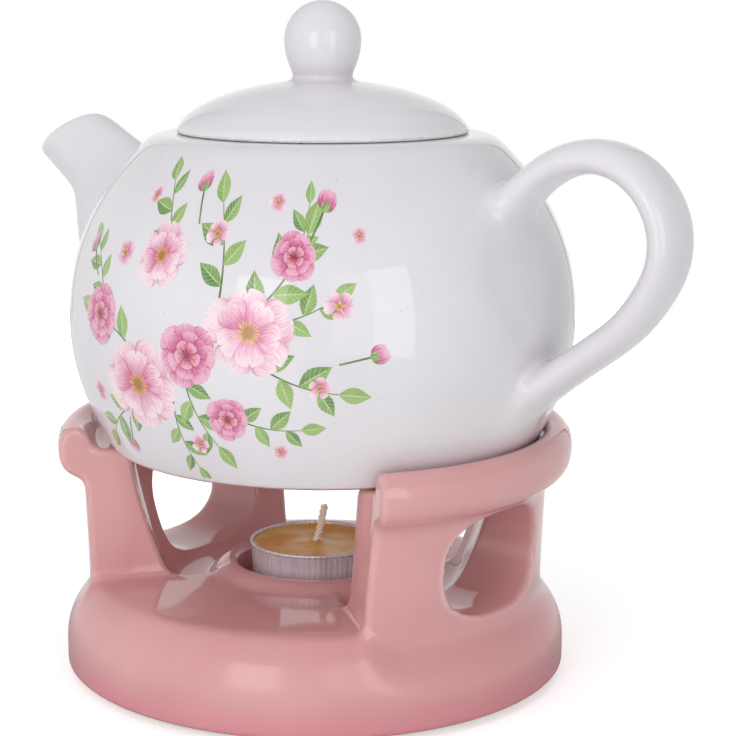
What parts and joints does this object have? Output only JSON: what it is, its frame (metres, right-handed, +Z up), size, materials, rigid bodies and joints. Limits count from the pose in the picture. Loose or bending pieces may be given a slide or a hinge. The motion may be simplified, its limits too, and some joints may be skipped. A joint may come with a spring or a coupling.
{
  "type": "teapot with warmer",
  "caption": "Round ceramic teapot with domed lid, strap handle and short spout, on a two-walled candle warmer with a tealight in its well.",
  "frame": {"origin": "on the table, under the middle of the warmer's round base", "axes": "+X towards the pot's handle, -X towards its spout, +Y towards the side gap between the warmer's walls, +Z up"},
  "size_m": [0.2198, 0.1465, 0.1929],
  "materials": {
    "warmer_glaze": "glossy pink glaze",
    "pot_glaze": "glossy white glaze with a printed floral transfer",
    "cup_foil": "bright pressed foil",
    "candle_wax": "amber wax, slightly translucent",
    "holder_steel": "plain tinned steel",
    "wick_cotton": "braided cotton, waxed"
  },
  "bodies": {
    "warmer": {"warmer_base": "warmer_glaze", "wall_handle_side": "warmer_glaze", "wall_spout_side": "warmer_glaze"},
    "tealight": {"candle_cup": "cup_foil", "candle_wax": "candle_wax", "wick_holder": "holder_steel", "candle_wick": "wick_cotton"},
    "teapot": {"teapot_body": "pot_glaze", "spout": "pot_glaze", "handle": "pot_glaze"},
    "lid": {"lid_cap": "pot_glaze", "lid_knob": "pot_glaze"}
  },
  "joints": [
    {"name": "teapot_lift", "type": "slide", "parent": "warmer", "child": "teapot", "axis": [0, 0, 1], "range_m": [0, 0.06]},
    {"name": "lid_lift", "type": "slide", "parent": "teapot", "child": "lid", "axis": [0, 0, 1], "range_m": [0, 0.04]},
    {"name": "tealight_lift", "type": "slide", "parent": "warmer", "child": "tealight", "axis": [0, 0, 1], "range_m": [0, 0.014]}
  ]
}
